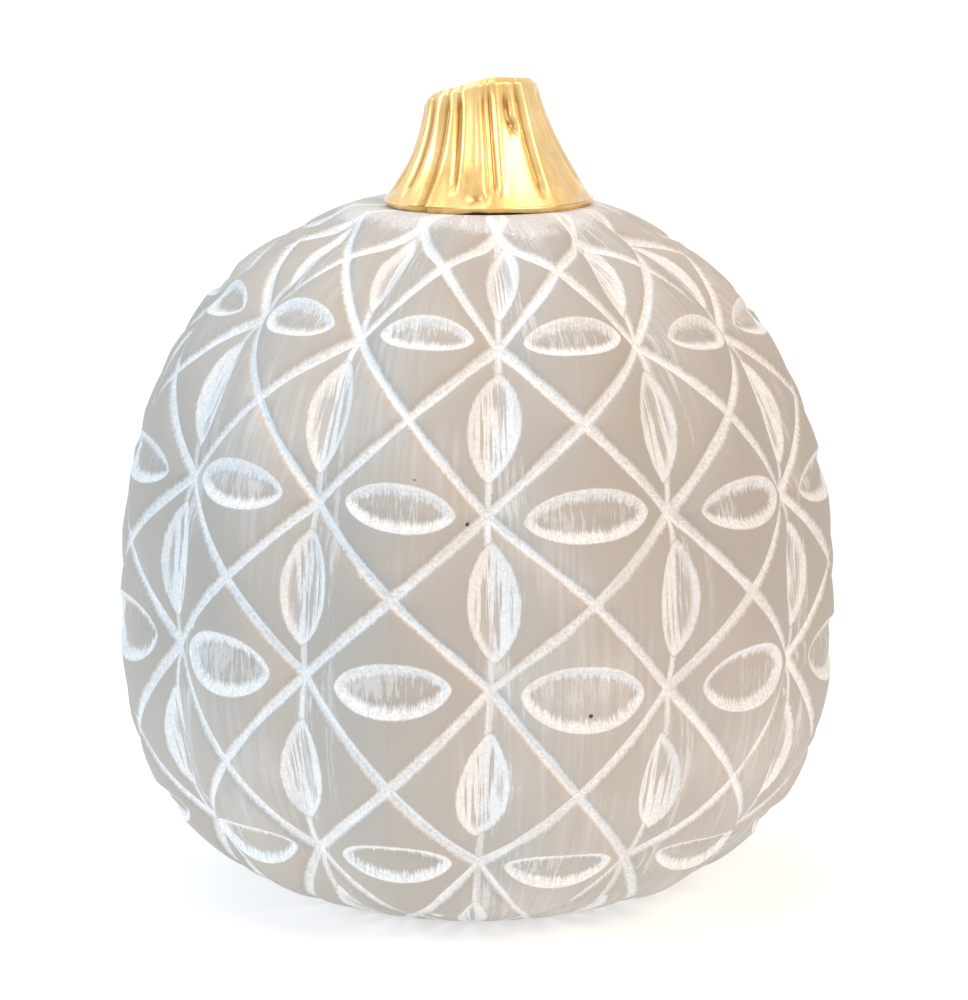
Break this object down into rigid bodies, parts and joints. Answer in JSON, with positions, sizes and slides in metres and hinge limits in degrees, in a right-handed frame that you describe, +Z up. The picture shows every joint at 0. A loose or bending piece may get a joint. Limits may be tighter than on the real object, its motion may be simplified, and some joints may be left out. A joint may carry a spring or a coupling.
{
  "type": "ceramic pumpkin figure",
  "caption": "Ribbed hollow ceramic pumpkin ornament with carved lattice and eye-shaped recesses, whitewashed, with a slant-cut gold stem glued into its crown.",
  "frame": {"origin": "middle of the base, on the surface that the felt dots stand on", "axes": "+Z up through the crown; -Y is the front, which shows a valley between two ribs"},
  "size_m": [0.178, 0.178, 0.2072],
  "materials": {
    "body_glaze": "matte warm grey, whitewashed in the carved lines",
    "stem_gold": "satin gold paint over ceramic",
    "bond_glue": "cured clear amber epoxy",
    "pad_felt": "pale grey felt"
  },
  "bodies": {
    "root": {"body_shell": "body_glaze", "stem": "stem_gold", "stem_bond": "bond_glue", "foot_pad_1": "pad_felt", "foot_pad_2": "pad_felt", "foot_pad_3": "pad_felt", "foot_pad_4": "pad_felt"}
  },
  "joints": []
}
